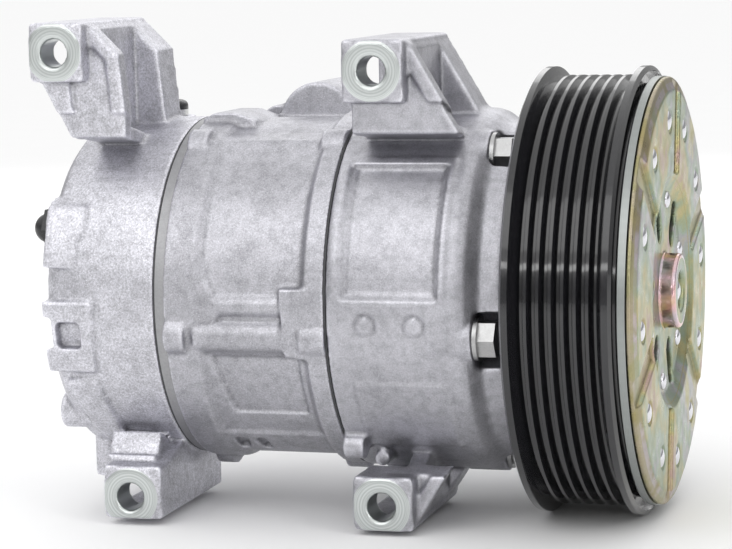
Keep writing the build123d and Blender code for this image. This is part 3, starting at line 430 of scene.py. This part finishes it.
for node_name, material, feet in (("front_housing", cast_front, FRONT_FEET),
                                  ("cylinder_block", cast_block, ()),
                                  ("rear_head", cast_rear, REAR_FEET)):
    softened(node_name, f"{node_name}_casting", material, "housing", CAST_VOXEL_MM, 2, feet)
softened("clutch_hub", "clutch_hub_stamping", hub_zinc, "drive", HUB_VOXEL_MM, 3)


DOME_RINGS = 7
DOME_SIDES = 24
DOME_ROOT = 0.3                 # how far a dome goes down into its head, as a part of its height


def domes(name, centres, foot_x, radius, height):
    """Chrome domes along X on the drive, each a closed lathed cap that sits on a head of the CAD node."""
    shape = bmesh.new()
    for y, z in centres:
        loops = []
        for i in range(DOME_RINGS):
            turn = 0.5 * math.pi * i / DOME_RINGS
            reach, rise = radius * math.cos(turn), height * math.sin(turn)
            angles = [2 * math.pi * k / DOME_SIDES for k in range(DOME_SIDES)]
            loops.append([shape.verts.new((foot_x + rise, y + reach * math.cos(a), z + reach * math.sin(a)))
                          for a in angles])
        tip = shape.verts.new((foot_x + height, y, z))
        back = [shape.verts.new((foot_x - DOME_ROOT * height, v.co.y, v.co.z)) for v in loops[0]]
        loops.insert(0, back)
        for low, high in zip(loops, loops[1:]):
            for k in range(DOME_SIDES):
                after = (k + 1) % DOME_SIDES
                shape.faces.new((low[k], low[after], high[after], high[k]))
        for k in range(DOME_SIDES):
            shape.faces.new((loops[-1][k], loops[-1][(k + 1) % DOME_SIDES], tip))
        shape.faces.new(list(reversed(back)))
    bmesh.ops.recalc_face_normals(shape, faces=shape.faces)
    mesh = bpy.data.meshes.new(name)
    shape.to_mesh(mesh)
    shape.free()
    new_piece(name, mesh, chrome, "drive")


def on_ring(radius, degrees):
    """Y and Z in metres on a ring about the shaft, from the near side up."""
    turn = math.radians(degrees)
    return (-radius * MM * math.cos(turn), radius * MM * math.sin(turn))


FIRST_GROOVE = 99.7             # degrees from the near side
OUTER_RING = 51.7
INNER_RING = 27.4
RIVET_TURN = 15                 # degrees from a groove to the outer rivets beside it
outer_rivets = [on_ring(OUTER_RING, FIRST_GROOVE + 60 * i + side) for i in range(6)
                for side in (-RIVET_TURN, RIVET_TURN)]
inner_rivets = [on_ring(INNER_RING, FIRST_GROOVE + 60 * i) for i in range(6)]
domes("outer_rivet_domes", outer_rivets, 21.55 * MM, 3.1 * MM, 1.25 * MM)
domes("inner_rivet_domes", inner_rivets, 19.45 * MM, 2.6 * MM, 1.15 * MM)
domes("hub_bolt_dome", [(0.0, 0.0)], 20.2 * MM, 5.1 * MM, 4.1 * MM)


# ---------------------------------------------------------------- stage, light and camera
def area_light(name, place, target, size, power):
    """A white panel of light that faces a target."""
    lamp = bpy.data.lights.new(name, "AREA")
    lamp.shape = "RECTANGLE"
    lamp.size, lamp.size_y = size
    lamp.energy = power
    light = bpy.data.objects.new(name, lamp)
    light.location = place
    light.rotation_euler = (Vector(target) - Vector(place)).to_track_quat("-Z", "Y").to_euler()
    scene.collection.objects.link(light)


FLOOR_Z = cad_low.z - 0.2 * MM
FLOOR_RADIUS = 30.0
MIDDLE = (-0.068, -0.01, 0.0)

floor_mesh = bpy.data.meshes.new("floor")
shape = bmesh.new()
bmesh.ops.create_circle(shape, cap_ends=True, segments=96, radius=FLOOR_RADIUS)
shape.to_mesh(floor_mesh)
shape.free()
floor = bpy.data.objects.new("floor", floor_mesh)
floor.location = (0, 0, FLOOR_Z)
scene.collection.objects.link(floor)
paper = Shader("studio_paper", (0.95, 0.95, 0.95), 0.0, 0.9, specular=0.05)
paper.colour(paper.steps(paper.noise(40, detail=2), (0.3, 0.947), (0.7, 0.953)))
floor_mesh.materials.append(paper.material)

area_light("key", (-0.45, -0.85, 0.80), MIDDLE, (0.90, 0.60), 2.0)
area_light("clutch_side", (0.95, -0.65, 0.35), (0.02, 0, 0), (0.25, 0.9), 2.3)
area_light("strip", (-0.21, -1.02, 0.34), (0, -0.06, 0.015), (0.9, 0.06), 0.9)
area_light("back", (-0.3, 1.0, 0.55), MIDDLE, (1.2, 0.6), 2.0)

world = bpy.data.worlds.new("studio")
scene.world = world
world.use_nodes = True
sky = world.node_tree
backdrop = sky.nodes["Background"]
direction = sky.nodes.new("ShaderNodeTexCoord")
split = sky.nodes.new("ShaderNodeSeparateXYZ")
shade = sky.nodes.new("ShaderNodeValToRGB")
sky.links.new(direction.outputs["Generated"], split.inputs["Vector"])
sky.links.new(split.outputs["Z"], shade.inputs["Fac"])
sky.links.new(shade.outputs["Color"], backdrop.inputs["Color"])
SKY_STOPS = ((0.0, 0.30), (0.22, 0.36), (0.42, 0.88), (0.75, 1.0))
while len(shade.color_ramp.elements) < len(SKY_STOPS):
    shade.color_ramp.elements.new(0.5)
for stop, (height, grey) in zip(shade.color_ramp.elements, SKY_STOPS):
    stop.position = height
    stop.color = (grey, grey, grey, 1)
backdrop.inputs["Strength"].default_value = 1.12

CAMERA_PLACE = (0.1521, -0.7576, 0.1037)
CAMERA_RIGHT = (0.9587, 0.2834, -0.0231)
CAMERA_UP = (-0.0137, 0.1271, 0.9918)
FOCAL_WIDTHS = 3.495            # focal length over the picture's width
SENSOR_MM = 36.0

lens = bpy.data.cameras.new("camera")
lens.sensor_fit = "HORIZONTAL"
lens.sensor_width = SENSOR_MM
lens.lens = FOCAL_WIDTHS * SENSOR_MM
lens.clip_start = 0.01
lens.clip_end = 100
camera = bpy.data.objects.new("camera", lens)
right = Vector(CAMERA_RIGHT).normalized()
back = right.cross(Vector(CAMERA_UP)).normalized()
up = back.cross(right)
camera.matrix_world = Matrix.Translation(CAMERA_PLACE) @ Matrix((right, up, back)).transposed().to_4x4()
scene.collection.objects.link(camera)
scene.camera = camera
